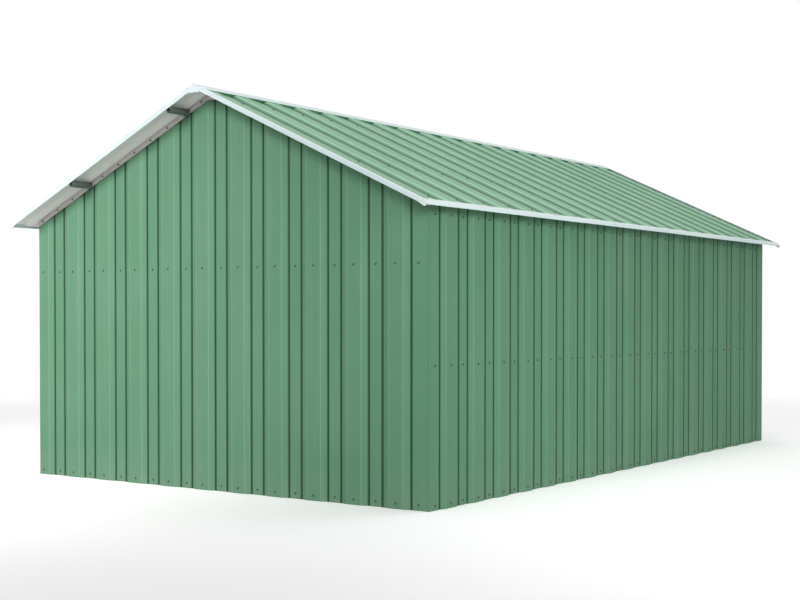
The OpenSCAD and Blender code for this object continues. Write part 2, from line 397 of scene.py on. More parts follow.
class MeshMaker:
    """Collects points and faces, then makes one object from them."""

    def __init__(self, name: str, slot: str, *materials: bpy.types.Material) -> None:
        """Start a piece.

        Args:
            name: The piece's name.
            slot: The record's material slot; it is not used.
            materials: Its materials, which faces name by number.
        """
        self.name = name
        self.slot = slot
        self.materials = materials
        self.points: list[Vector] = []
        self.faces: list[tuple[int, ...]] = []
        self.numbers: list[int] = []
        self.shade_and_highlight: dict[int, float] = {}

    def add(self, points: Iterable[Vector], faces: Iterable[Sequence[int]], number: int = 0) -> None:
        """Add points and the faces between them.

        Args:
            points: New points.
            faces: Faces, counted from the first new point.
            number: The material's number.
        """
        start = len(self.points)
        self.points.extend(points)
        for face in faces:
            self.faces.append(tuple(start + i for i in face))
            self.numbers.append(number)

    def sheet(self, outer: Sequence[Sequence[Vector]], inner: Sequence[Sequence[Vector]],
              back: int = 0, shade_and_highlight: Sequence[float] = ()) -> None:
        """Add a closed sheet between two grids of the same size.

        Args:
            outer: Columns of points on the outer face.
            inner: Columns of points on the inner face.
            back: The material's number on the inner face.
            shade_and_highlight: Painted shade of each column beside a valley, up to 1, or below 0 for a
                painted highlight on a crest edge.
        """
        columns, rows = len(outer), len(outer[0])
        start = len(self.points)
        for i, amount in enumerate(shade_and_highlight):
            for j in range(rows):
                self.shade_and_highlight[start + i * rows + j] = amount
        for grid in (outer, inner):
            for column in grid:
                self.points.extend(column)
        far = columns * rows

        def at(i: int, j: int, side: int) -> int:
            """Return the number of a grid point."""
            return start + side * far + i * rows + j

        for i in range(columns - 1):
            for j in range(rows - 1):
                self.faces.append((at(i, j, 0), at(i + 1, j, 0), at(i + 1, j + 1, 0), at(i, j + 1, 0)))
                self.numbers.append(0)
                self.faces.append((at(i, j, 1), at(i, j + 1, 1), at(i + 1, j + 1, 1), at(i + 1, j, 1)))
                self.numbers.append(back)
        for i in range(columns - 1):
            last = rows - 1
            self.faces.append((at(i, 0, 0), at(i, 0, 1), at(i + 1, 0, 1), at(i + 1, 0, 0)))
            self.faces.append((at(i, last, 0), at(i + 1, last, 0), at(i + 1, last, 1), at(i, last, 1)))
            self.numbers.extend((0, 0))
        for j in range(rows - 1):
            last = columns - 1
            self.faces.append((at(0, j, 0), at(0, j + 1, 0), at(0, j + 1, 1), at(0, j, 1)))
            self.faces.append((at(last, j, 0), at(last, j, 1), at(last, j + 1, 1), at(last, j + 1, 0)))
            self.numbers.extend((0, 0))

    def finish(self, *nodes: str, sharp: float = 32.0) -> bpy.types.Object:
        """Make the object, smooth except at sharp edges, and let it ride on the building.

        Args:
            nodes: The frame's nodes that it stands for.
            sharp: Least angle of a sharp edge, in degrees.

        Returns:
            The object.
        """
        mesh = bpy.data.meshes.new(self.name)
        mesh.from_pydata([tuple(p) for p in self.points], [], self.faces)
        for material in self.materials:
            mesh.materials.append(material)
        mesh.polygons.foreach_set("material_index", self.numbers)
        mesh.validate()
        # The crease attribute carries the painted shade and painted highlight of the ribs.
        if self.shade_and_highlight:
            layer = mesh.attributes.new(SHADE_AND_HIGHLIGHT_ATTRIBUTE, "FLOAT", "POINT")
            layer.data.foreach_set("value", [self.shade_and_highlight.get(i, 0.0) for i in range(len(self.points))])
        piece = bpy.data.objects.new(self.name, mesh)
        bpy.context.scene.collection.objects.link(piece)
        edit = bmesh.new()
        edit.from_mesh(mesh)
        bmesh.ops.recalc_face_normals(edit, faces=edit.faces)
        edit.to_mesh(mesh)
        edit.free()
        mesh.polygons.foreach_set("use_smooth", [True] * len(mesh.polygons))
        mesh.set_sharp_from_angle(angle=math.radians(sharp))
        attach(piece, BODY)
        if nodes:
            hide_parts(*nodes)
        LOG.info("%s: %d faces", self.name, len(self.faces))
        return piece


# ---------------------------------------------------------------- the building's lines


@dataclass(frozen=True)
class Shell:
    """The building's main lines, worked out from the frame."""

    wall_margin: float = 40 * MM
    roof_seat: float = 42 * MM
    half_w: float = field(default_factory=lambda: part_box("right_wall")[1].x)
    half_l: float = field(default_factory=lambda: -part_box("front_wall")[0].y)
    eave_top: float = field(default_factory=lambda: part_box("right_wall")[1].z)
    apex_top: float = field(default_factory=lambda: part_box("front_wall")[1].z)
    roof_half_w: float = field(default_factory=lambda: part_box("front_right_verge")[1].x)
    verge_half_l: float = field(default_factory=lambda: -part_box("front_right_verge")[0].y)
    roof_half_l: float = field(default_factory=lambda: -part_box("right_roof")[0].y)

    @property
    def rise(self) -> float:
        """Height gained for each metre toward the ridge."""
        return (self.apex_top - self.eave_top) / self.half_w

    @property
    def pitch(self) -> float:
        """Slope of the roof in radians."""
        return math.atan(self.rise)

    @property
    def plumb(self) -> float:
        """Vertical height of one metre measured square to the slope."""
        return 1 / math.cos(self.pitch)

    def line_z(self, x: float) -> float:
        """Return the height of the cladding's top line at a distance x from the ridge line."""
        return self.eave_top - self.wall_margin + (self.half_w - abs(x)) * self.rise

    def on_slope(self, side: Side) -> Placer:
        """Return a function that places a point by its way down a slope, its Y and its height over it.

        Args:
            side: The slope.

        Returns:
            A function of the way down, Y and the height square to the roof's underside.
        """
        cos, sin = math.cos(self.pitch), math.sin(self.pitch)
        top = self.line_z(0) + self.roof_seat

        def place(down: float, y: float, height: float) -> Vector:
            """Return the point."""
            x = down * cos + height * sin
            return Vector((side.value * x, y, top - down * sin + height * cos))

        return place


@dataclass(frozen=True)
class Ribs:
    """The trapezoidal profile of the cladding."""

    depth: float = 20 * MM
    crest: float = 129 * MM
    valley: float = 121 * MM
    web: float = 58 * MM
    thickness: float = 0.5 * MM
    bend: float = 5 * MM
    crease: float = 3 * MM
    crease_w: float = 11 * MM
    # Reach of the painted shade beside each valley and of the painted highlight on crest edges.
    shade_reach: float = 15 * MM
    highlight_reach: float = 8 * MM
    part_web: float = 20 * MM
    edge_gap: float = 12 * MM
    lap_lift: float = 0.7 * MM
    ribs_per_sheet: int = 3

    @property
    def pitch(self) -> float:
        """Distance from one rib to the next."""
        return self.crest + self.valley + 2 * self.web

    def below(self, s: float, start: float) -> float:
        """Return the depth under the crests at s, where a valley starts at start."""
        u = (s - start) % self.pitch
        if u <= self.valley:
            return self.depth
        if u < self.valley + self.web:
            return self.depth * (1 - (u - self.valley) / self.web)
        if u <= self.valley + self.web + self.crest:
            return 0.0
        return self.depth * (u - self.valley - self.web - self.crest) / self.web

    def feet(self, a: float, b: float, start: float) -> list[float]:
        """Return where each valley starts, from just before a to just past b."""
        first = math.floor((a - start) / self.pitch) - 1
        last = math.ceil((b - start) / self.pitch) + 1
        return [start + k * self.pitch for k in range(first, last)]

    def bends(self, a: float, b: float, start: float) -> list[float]:
        """Return where the sheet bends between a and b."""
        steps = (0.0, self.valley, self.valley + self.web, self.valley + self.web + self.crest)
        found = [foot + step for foot in self.feet(a, b, start) for step in steps]
        return [s for s in found if a + MM < s < b - MM]

    def outline(self, a: float, b: float, start: float) -> list[Point2]:
        """Return the sheet's rounded outer line, as way along and depth, with a crease beside each valley."""
        line = [(a, self.below(a, start))]
        raised = self.depth - self.crease
        for s in self.bends(a, b, start):
            d = self.below(s, start)
            line.append((s, d))
            if d < self.depth - self.thickness:
                continue
            inward = self.crease_w if self.nearest_foot(s, start) == "left" else -self.crease_w
            if a < s + inward < b:
                line.append((s + inward, raised))
        line.append((b, self.below(b, start)))
        done = self.with_marks(rounded(sorted(line), self.bend, 3), start)
        low, high = self.plain_parts(done, start)
        return [(s, raised if s < low or s > high else d) for s, d in done]

    def with_marks(self, line: Sequence[Point2], start: float) -> list[Point2]:
        """Add points to a line where the grime or wear of each bend ends."""
        marks = []
        for foot in self.feet(line[0][0], line[-1][0], start):
            crest = foot + self.valley + self.web
            for bend, reach in ((foot, self.shade_reach), (foot + self.valley, self.shade_reach),
                                (crest, self.highlight_reach), (crest + self.crest, self.highlight_reach)):
                marks += [bend - reach, bend + reach]
        # Add points to a line where the painted shade or painted highlight of each bend ends.
        return with_points(line, marks)

    def nearest_foot(self, s: float, start: float) -> str:
        """Say whether a place is nearer to a valley's left or right foot."""
        u = (s - start) % self.pitch
        return "right" if self.valley / 2 < u < self.valley + self.web else "left"

    def shade_and_highlight(self, s: float, start: float) -> float:
        """Return the painted shade beside a valley, from 0 to 1, or below 0 for the painted highlight on a
        crest edge.
        """
        u = (s - start) % self.pitch
        gap = min(abs(u), abs(u - self.pitch), abs(u - self.valley))
        if gap < self.shade_reach:
            return (1.0 - gap / self.shade_reach) ** 0.5
        crest = self.valley + self.web
        return -max(0.0, 1.0 - min(abs(u - crest), abs(u - crest - self.crest)) / self.highlight_reach)

    def shades_and_highlights(self, line: Sequence[Point2], start: float) -> list[float]:
        """Return the painted shade and painted highlight of every point of a line, with none where its end is
        plain.
        """
        low, high = self.plain_parts(line, start)
        return [0.0 if s < low or s > high else self.shade_and_highlight(s, start) for s, _ in line]

    def plain_parts(self, line: Sequence[Point2], start: float) -> Point2:
        """Return where a line's plain start ends and where its plain end begins."""
        first, last = line[0][0], line[-1][0]
        u0, u1 = (first - start) % self.pitch, (last - start) % self.pitch
        low, high = first - MM, last + MM
        if u0 > self.pitch - self.web + self.part_web:
            low = first + self.pitch - u0 + self.shade_reach
        if self.valley < u1 < self.valley + self.web - self.part_web:
            high = last - (u1 - self.valley) - self.shade_reach
        return low, high

    def sheets(self, a: float, b: float, start: float,
               lap: float = 14 * MM) -> list[tuple[float, float, float]]:
        """Split a run into real sheets that lap over a crest.

        Args:
            a: Where the run starts.
            b: Where it ends.
            start: Where a valley starts.
            lap: How far a sheet's edge reaches down the web beyond the crest.

        Returns:
            Start, end and lift of each sheet; every second one lies over its neighbours.
        """
        edge = start + self.valley + self.web
        while edge - self.pitch > a:
            edge -= self.pitch
        joints = []
        count = 1
        while edge + count * self.pitch < b - self.pitch:
            if count % self.ribs_per_sheet == 0:
                joints.append(edge + count * self.pitch)
            count += 1
        edges = [a, *joints, b]
        out = []
        for i, (first, last) in enumerate(zip(edges, edges[1:])):
            over = i % 2 == 1
            low = first - (lap if over and i > 0 else 0.0)
            high = last + self.crest + (lap if over else -lap) if i < len(edges) - 2 else last
            out.append((low, high, self.lap_lift if over else 0.0))
        return out

    def centres(self, a: float, b: float, start: float) -> list[tuple[float, float]]:
        """Return the middle of each valley and crest between a and b, with its depth."""
        out = []
        for foot in self.feet(a, b, start):
            out.append((foot + self.valley / 2, self.depth - self.crease))
            out.append((foot + self.valley + self.web + self.crest / 2, 0.0))
        return [(s, d) for s, d in out if a + self.edge_gap < s < b - self.edge_gap]


def dent(s: float, z: float, seed: float) -> float:
    """Return the slight outward waviness of thin sheet at a place.

    Args:
        s: Way along the sheet.
        z: Height on it.
        seed: A number that sets one sheet apart from another.

    Returns:
        How far the sheet stands out, in metres.
    """
    wave = noise.noise(Vector((s * 2.3, z * 1.6, seed)))
    return 0.5 * MM * (1 + wave)


# ---------------------------------------------------------------- fasteners


@dataclass(frozen=True)
class Screw:
    """A hexagon screw with a washer and a rubber ring."""

    head_flats: float = 8 * MM
    head_height: float = 5 * MM
    washer_radius: float = 8 * MM
    washer_height: float = 1.4 * MM
    ring_radius: float = 8.4 * MM
    ring_height: float = 1.6 * MM
    sides: int = 12
    head_ring: int = 5

    def rings(self) -> list[tuple[float, float, int]]:
        """Return radius, height and material number of each ring, from below."""
        head = self.head_flats / math.sqrt(3)
        top = self.ring_height + self.washer_height
        return [
            (self.ring_radius, 0.0, 1),
            (self.ring_radius, self.ring_height * 0.7, 1),
            (self.washer_radius, self.ring_height, 1),
            (self.washer_radius, self.ring_height + self.washer_height * 0.4, 0),
            (self.washer_radius * 0.72, top, 0),
            (head * 1.04, top, 0),
            (head, top + self.head_height * 0.82, 0),
            (head * 0.8, top + self.head_height, 0),
        ]

    def add_to(self, maker: MeshMaker, place: Vector, normal: Vector, turn: float) -> None:
        """Add one screw to a mesh.

        Args:
            maker: The mesh.
            place: The foot of the screw, on the sheet.
            normal: The way out of the sheet.
            turn: How far the head is turned, in radians.
        """
        up = normal.normalized()
        side = up.cross(Vector((0.0, 0.0, 1.0)))
        side = side.normalized() if side.length > 0.1 else Vector((1.0, 0.0, 0.0))
        other = up.cross(side)
        rings = self.rings()
        points, faces = [], [[], []]
        for k, (radius, height, _) in enumerate(rings):
            hexed = k >= self.head_ring
            for i in range(self.sides):
                angle = turn + 2 * math.pi * i / self.sides
                reach = radius * math.cos(math.pi / 6) if hexed and i % 2 else radius
                offset_by = side * (math.cos(angle) * reach) + other * (math.sin(angle) * reach)
                points.append(place + offset_by + up * height)
        for k in range(len(rings) - 1):
            number = rings[k + 1][2]
            for i in range(self.sides):
                j = (i + 1) % self.sides
                faces[number].append((k * self.sides + i, k * self.sides + j,
                                      (k + 1) * self.sides + j, (k + 1) * self.sides + i))
        last = (len(rings) - 1) * self.sides
        faces[0].append(tuple(range(last, last + self.sides)))
        faces[1].append(tuple(reversed(range(self.sides))))
        start = len(maker.points)
        maker.points.extend(points)
        for number, group in enumerate(faces):
            for face in group:
                maker.faces.append(tuple(start + i for i in face))
                maker.numbers.append(number)


class ScrewRow:
    """Screws gathered into one mesh."""

    def __init__(self, name: str, finishes: Finishes, slot: str) -> None:
        """Start a set of screws.

        Args:
            name: The piece's name.
            finishes: The garage's finishes.
            slot: The record's material slot.
        """
        pale = slot == "trim_white"
        head = finishes.trim_screw if pale else finishes.screw
        self.maker = MeshMaker(name, slot, head, head if pale else finishes.rubber)
        self.screw = Screw()
        self.count = 0

    def add(self, place: Vector, normal: Vector) -> None:
        """Add one screw at a place, facing along normal."""
        self.screw.add_to(self.maker, place, normal, 0.7 * self.count)
        self.count += 1

    def finish(self) -> bpy.types.Object:
        """Make the piece."""
        return self.maker.finish(sharp=25.0)


# ---------------------------------------------------------------- walls


@dataclass
class RibbedWall:
    """What the gable walls and the long walls share."""

    shell: Shell
    ribs: Ribs
    finishes: Finishes

    def cut(self, line: Sequence[Point2]) -> list[Point2]:
        """Return a sheet's line with the points that its top edge needs."""
        return list(line)

    def clad(self, a: float, b: float, seed: float) -> None:
        """Make the wall's ribbed sheets.

        Args:
            a: Where the wall starts, along it.
            b: Where it ends.
            seed: A number that sets one wall's waviness apart from another's.
        """
        maker = MeshMaker(f"{self.name}_wall_sheets", "wall_green", self.finishes.wall,
                          self.finishes.back_coat)
        for first, last, lift in self.ribs.sheets(a, b, self.rib_start):
            line = self.cut(self.ribs.outline(first, last, self.rib_start))
            inner = offset(line, self.ribs.thickness)
            grids: tuple[list, list] = ([], [])
            for (s, d), (si, di) in zip(line, inner):
                heights = [self.top(s) * j / self.rows for j in range(self.rows + 1)]
                waves = [dent(s, z, seed) + lift for z in heights]
                grids[0].append([self.place(s, w - d, z) for z, w in zip(heights, waves)])
                grids[1].append([self.place(si, w - di, z) for z, w in zip(heights, waves)])
            maker.sheet(*grids, 1, self.ribs.shades_and_highlights(line, self.rib_start))
        maker.finish(f"{self.name}_wall")


@dataclass
class GableWall(RibbedWall):
    """A ribbed gable wall with its top strip and screws."""

    end: End
    rib_start: float = 174 * MM
    rows: int = 14
    sill_row: float = 40 * MM
    strip_row: float = 20 * MM
    strip_height: float = 40 * MM
    strip_thickness: float = 0.8 * MM
    strip_seat: float = 0.2 * MM
    strip_flat: float = 55 * MM
    strip_stand: float = 1.9 * MM
    lip: float = 3 * MM

    @property
    def name(self) -> str:
        """The gable's name."""
        return self.end.name.lower()

    def place(self, s: float, out: float, z: float) -> Vector:
        """Return a point of the front gable, turned half round for the back one.

        Args:
            s: Way along from the wall's left end, seen from outside.
            out: Distance out from the crests.
            z: Height.
        """
        x, y = s - self.shell.half_w, -self.shell.half_l - out
        turn = -self.end.value
        return Vector((turn * x, turn * y, z))

    def gaps(self) -> list[Point2]:
        """Return the ways along, low and high, where purlins pass through the wall."""
        out = []
        for level in ("lower", "upper"):
            low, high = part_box(f"left_{level}_purlin")
            out.append((low.x + self.shell.half_w + 4 * MM, high.x + self.shell.half_w - 4 * MM))
        return sorted(out)

    def top(self, s: float) -> float:
        """Return the sheet's top height at s, lower where a purlin passes."""
        x = s - self.shell.half_w
        if any(a <= s <= b for a, b in self.gaps()):
            return self.shell.line_z(x) - 4 * MM
        return self.shell.line_z(x) + self.shell.wall_margin - EDGE_DROP

    def cut(self, line: Sequence[Point2]) -> list[Point2]:
        """Add points to a line at the ridge and both sides of each purlin gap."""
        marks = [self.shell.half_w]
        for a, b in self.gaps():
            marks += [a - 0.1 * MM, a + 0.1 * MM, b - 0.1 * MM, b + 0.1 * MM]
        return with_points(line, marks)

    def wall(self) -> None:
        """Make the ribbed wall."""
        self.clad(0.0, 2 * self.shell.half_w - self.ribs.depth, self.end.value)

    def strip(self) -> None:
        """Make the screwed strip along the gable's top edge, with its folded lip."""
        shell = self.shell
        maker = MeshMaker(f"{self.name}_gable_strip", "trim_zinc", self.finishes.strip)
        apex = shell.line_z(0) - self.strip_flat * shell.rise
        edges = sorted({0.0, 2 * shell.half_w, shell.half_w, shell.half_w - self.strip_flat,
                        shell.half_w + self.strip_flat, *(v for gap in self.gaps() for v in gap)})
        back = self.strip_seat + self.strip_stand
        for a, b in zip(edges, edges[1:]):
            middle = (a + b) / 2
            if any(low < middle < high for low, high in self.gaps()):
                continue
            outer, inner = [], []
            for s in (a, b):
                x = s - shell.half_w
                low = min(shell.line_z(x), apex)
                high = shell.line_z(x) + self.strip_height
                lip = low + self.lip
                front = back + self.strip_thickness
                outer.append([self.place(s, back, low), self.place(s, front + self.lip / 2, low),
                              self.place(s, front + self.lip / 2, low + self.lip / 3),
                              self.place(s, front, lip), self.place(s, front, high)])
                inner.append([self.place(s, back, low + 0.2 * MM), self.place(s, back, low + 0.3 * MM),
                              self.place(s, back, low + 0.4 * MM),
                              self.place(s, back, lip), self.place(s, back, high)])
            maker.sheet(outer, inner)
        maker.finish(f"{self.name}_top_strip")

    def screws(self) -> None:
        """Set the rows of screws into the sill, the rail and the top edge."""
        rows = ScrewRow(f"{self.name}_wall_screws", self.finishes, "wall_green")
        low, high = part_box(f"{self.name}_girt")
        girt = (low.z + high.z) / 2
        normal = self.place(0, 1, 0) - self.place(0, 0, 0)
        width = 2 * self.shell.half_w - self.ribs.depth
        for s, d in self.ribs.centres(0.0, width, self.rib_start):
            for z in (self.sill_row, girt):
                rows.add(self.place(s, SCREW_STAND - d, z), normal)
            if any(a - 10 * MM < s < b + 10 * MM for a, b in self.gaps()):
                continue
            z = self.shell.line_z(s - self.shell.half_w) + self.strip_row
            rows.add(self.place(s, self.strip_seat + self.strip_thickness + self.strip_stand, z), normal)
        rows.finish()

    def build(self) -> None:
        """Make the whole gable."""
        self.wall()
        self.strip()
        self.screws()


@dataclass
class LongWall(RibbedWall):
    """A ribbed long wall with its screws."""

    side: Side
    rib_start: float = 28 * MM
    rows: int = 12
    sill_row: float = 34 * MM

    @property
    def name(self) -> str:
        """The wall's name."""
        return self.side.name.lower()

    def place(self, s: float, out: float, z: float) -> Vector:
        """Return a point of the right wall, turned half round for the left one.

        Args:
            s: Way along from the wall's left end, seen from outside.
            out: Distance out from the crests.
            z: Height.
        """
        x, y = self.shell.half_w + out, s - self.shell.half_l
        return Vector((self.side.value * x, self.side.value * y, z))

    def span(self) -> Point2:
        """Return the wall's two ends along it."""
        low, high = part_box("right_wall")
        return low.y + self.shell.half_l, high.y + self.shell.half_l

    def top(self, s: float) -> float:
        """Return the sheet's top height, the same all along the wall."""
        return self.shell.eave_top - EDGE_DROP

    def wall(self) -> None:
        """Make the ribbed wall."""
        self.clad(*self.span(), 5.0 + self.side.value)

    def screws(self) -> None:
        """Set the rows of screws into the sill, the rail and the eave rail."""
        rows = ScrewRow(f"{self.name}_wall_screws", self.finishes, "wall_green")
        levels = [self.sill_row]
        for node in (f"{self.name}_girt", f"{self.name}_eave_rail"):
            low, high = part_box(node)
            levels.append((low.z + high.z) / 2)
        normal = self.place(0, 1, 0) - self.place(0, 0, 0)
        for s, d in self.ribs.centres(*self.span(), self.rib_start):
            for z in levels:
                rows.add(self.place(s, SCREW_STAND - d, z), normal)
        rows.finish()

    def build(self) -> None:
        """Make the whole wall."""
        self.wall()
        self.screws()


# ---------------------------------------------------------------- roof


@dataclass
class RoofSlope:
    """One slope of the roof: ribbed sheets and the screws through their valleys."""

    shell: Shell
    ribs: Ribs
    finishes: Finishes
    side: Side
    rows: int = 12
    clearance: float = 1 * MM

    @property
    def name(self) -> str:
        """The slope's name."""
        return self.side.name.lower()

    @property
    def length(self) -> float:
        """The sheets' length down the slope."""
        thick = self.ribs.depth + self.ribs.thickness
        reach = self.shell.roof_half_w - self.clearance - thick * math.sin(self.shell.pitch)
        return reach * self.shell.plumb

    def sheets(self) -> None:
        """Make the slope from its sheets."""
        place = self.shell.on_slope(self.side)
        start = self.ribs.crest + self.ribs.web
        width = 2 * self.shell.roof_half_l
        base = self.ribs.depth + self.ribs.thickness
        maker = MeshMaker(f"{self.name}_roof_sheets", "roof_green", self.finishes.roof,
                          self.finishes.back_coat)
        for a, b, lift in self.ribs.sheets(0.0, width, start):
            line = self.ribs.outline(a, b, start)
            inner = offset(line, self.ribs.thickness)
            grids: tuple[list, list] = ([], [])
            for (s, d), (si, di) in zip(line, inner):
                ways = [0.3 * MM + (self.length - 0.3 * MM) * j / self.rows for j in range(self.rows + 1)]
                y, yi = s - self.shell.roof_half_l, si - self.shell.roof_half_l
                grids[0].append([place(t, y, base - d + lift) for t in ways])
                grids[1].append([place(t, yi, base - di + lift) for t in ways])
            maker.sheet(*grids, 1, self.ribs.shades_and_highlights(line, start))
        maker.finish(f"{self.name}_roof")

    def screws(self) -> None:
        """Set screws through the valleys into the purlins and the eave rail."""
        rows = ScrewRow(f"{self.name}_roof_screws", self.finishes, "roof_green")
        place = self.shell.on_slope(self.side)
        normal = place(0, 0, 1) - place(0, 0, 0)
        start = self.ribs.crest + self.ribs.web
        ways = []
        for node in (f"{self.name}_upper_purlin", f"{self.name}_lower_purlin", f"{self.name}_eave_rail"):
            low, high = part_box(node)
            ways.append(abs(low.x + high.x) / 2 * self.shell.plumb)
        for s, d in self.ribs.centres(0.0, 2 * self.shell.roof_half_l, start):
            if d == 0.0:
                continue
            foot = self.ribs.thickness + self.ribs.crease
            for way in ways:
                rows.add(place(way, s - self.shell.roof_half_l, foot), normal)
        rows.finish()

    def build(self) -> None:
        """Make the whole slope."""
        self.sheets()
        self.screws()


# ---------------------------------------------------------------- trims


@dataclass
class VergeTrim:
    """A folded trim along one end of one slope."""

    shell: Shell
    ribs: Ribs
    finishes: Finishes
    side: Side
    end: End
    leg: float = 35 * MM
    flange: float = 40 * MM
    thickness: float = 0.8 * MM
    bend: float = 2.5 * MM
    hem: float = 7 * MM
    rows: int = 10
    seat: float = 0.2 * MM
    screw_gap: float = 0.45
    tab_back: float = 55 * MM
    tab_out: float = 18 * MM
    tab_drop: float = 9 * MM
    tab_tip: float = 14 * MM

    @property
    def top(self) -> float:
        """Height of the trim's top over the cladding's line, measured straight up."""
        sheet = self.shell.roof_seat + (self.ribs.depth + self.ribs.thickness) * self.shell.plumb
        return sheet + 2 * (self.seat + self.thickness * self.shell.plumb)

    def build(self) -> None:
        """Make the trim and its screws."""
        name = f"{self.end.name.lower()}_{self.side.name.lower()}_verge"
        face = self.end.value * self.shell.verge_half_l
        inward = -self.end.value
        low = self.top - self.leg
        fold = [
            (2 * self.thickness, low + self.hem), (1.2 * self.thickness, low),
            (0.0, low), (0.0, self.top), (self.flange, self.top),
        ]
        line = rounded(fold, self.bend, 5)
        inner = offset(line, -self.thickness)
        maker = MeshMaker(f"{name}_trim", "trim_white", self.finishes.trim)
        ways = [0.1 * MM + (self.shell.roof_half_w - 0.1 * MM) * j / self.rows for j in range(self.rows + 1)]

        def column(point: Point2) -> list[Vector]:
            """Return a line of points down the slope."""
            y = face + inward * point[0]
            return [Vector((self.side.value * x, y, self.shell.line_z(x) + point[1])) for x in ways]

        maker.sheet([column(p) for p in line], [column(p) for p in inner])
        self.tab(maker, face)
        maker.finish(name)
        screws = ScrewRow(f"{name}_screws", self.finishes, "trim_white")
        place = self.shell.on_slope(self.side)
        normal = place(0, 0, 1) - place(0, 0, 0)
        height = (self.top - self.shell.roof_seat) / self.shell.plumb
        length = self.shell.roof_half_w * self.shell.plumb
        count = round(length / self.screw_gap)
        for i in range(count):
            way = length * (i + 0.5) / count
            screws.add(place(way, face + inward * self.flange * 0.6, height), normal)
        screws.finish()

    def tab(self, maker: MeshMaker, face: float) -> None:
        """Fold the trim's lower end over the end of the eave trim."""
        edge = self.shell.roof_half_w
        level = self.shell.line_z(edge) + self.top
        behind = edge - self.tab_back
        above = self.shell.line_z(behind) + self.top
        outline = [
            (behind, above - self.leg - 1 * MM, above),
            (edge, level - self.leg - self.tab_drop, level + 0.5 * MM),
            (edge + self.tab_out, level - self.leg, level - self.leg + self.tab_tip),
        ]
        grids = []
        for depth in (1.0 * MM, 0.1 * MM):
            y = face + self.end.value * depth
            grids.append([[Vector((self.side.value * x, y, low)), Vector((self.side.value * x, y, high))]
                          for x, low, high in outline])
        maker.sheet(*grids)


@dataclass
class EaveTrim:
    """A folded trim with a drip edge along one long side."""

    shell: Shell
    ribs: Ribs
    finishes: Finishes
    side: Side
    flange: float = 40 * MM
    out: float = 20 * MM
    down: float = 30 * MM
    thickness: float = 0.8 * MM
    bend: float = 2.5 * MM
    hem: float = 7 * MM
    seat: float = 0.2 * MM
    lengths: int = 3
    lap: float = 60 * MM

    def build(self) -> None:
        """Make the trim in lapped lengths, and its screws."""
        shell = self.shell
        name = f"{self.side.name.lower()}_eave_trim"
        top = shell.roof_seat + (self.ribs.depth + self.ribs.thickness) * shell.plumb
        top += self.seat + self.thickness * shell.plumb
        edge = Vector((shell.roof_half_w, shell.line_z(shell.roof_half_w) + top))
        slope = Vector((-math.cos(shell.pitch), math.sin(shell.pitch)))
        drip = Vector((self.out, -self.down))
        tip = edge + drip
        back = Vector((-drip.y, drip.x)).normalized() * -1.6 * self.thickness
        fold = [
            tuple(edge + slope * self.flange), tuple(edge), tuple(tip),
            tuple(tip + back), tuple(tip + back * 1.2 - drip.normalized() * self.hem),
        ]
        line = rounded(fold, self.bend, 5)
        inner = offset(line, -self.thickness)
        maker = MeshMaker(f"{name}_lengths", "trim_white", self.finishes.trim)
        half = shell.roof_half_l
        step = 2 * half / self.lengths
        for i in range(self.lengths):
            over = i % 2
            a = -half + i * step - (self.lap / 2 if over else 0.0)
            b = -half + (i + 1) * step + (self.lap / 2 if over else 0.0)
            lift = 0.9 * MM * over
            ways = [a + (b - a) * j / 4 for j in range(5)]

            def column(point: Point2) -> list[Vector]:
                """Return a line of points along the eave."""
                return [Vector((self.side.value * (point[0] + lift * 0.3), y, point[1] + lift)) for y in ways]

            maker.sheet([column(p) for p in line], [column(p) for p in inner])
        maker.finish(name)
        screws = ScrewRow(f"{name}_screws", self.finishes, "trim_white")
        place = shell.on_slope(self.side)
        normal = place(0, 0, 1) - place(0, 0, 0)
        way = (shell.roof_half_w - self.flange * 0.6) * shell.plumb
        start = self.ribs.crest + self.ribs.web
        for s, d in self.ribs.centres(0.0, 2 * half, start):
            if d == 0.0:
                height = self.ribs.depth + self.ribs.thickness + self.seat + 2 * self.thickness
                screws.add(place(way - 0.01, s - half, height), normal)
        screws.finish()


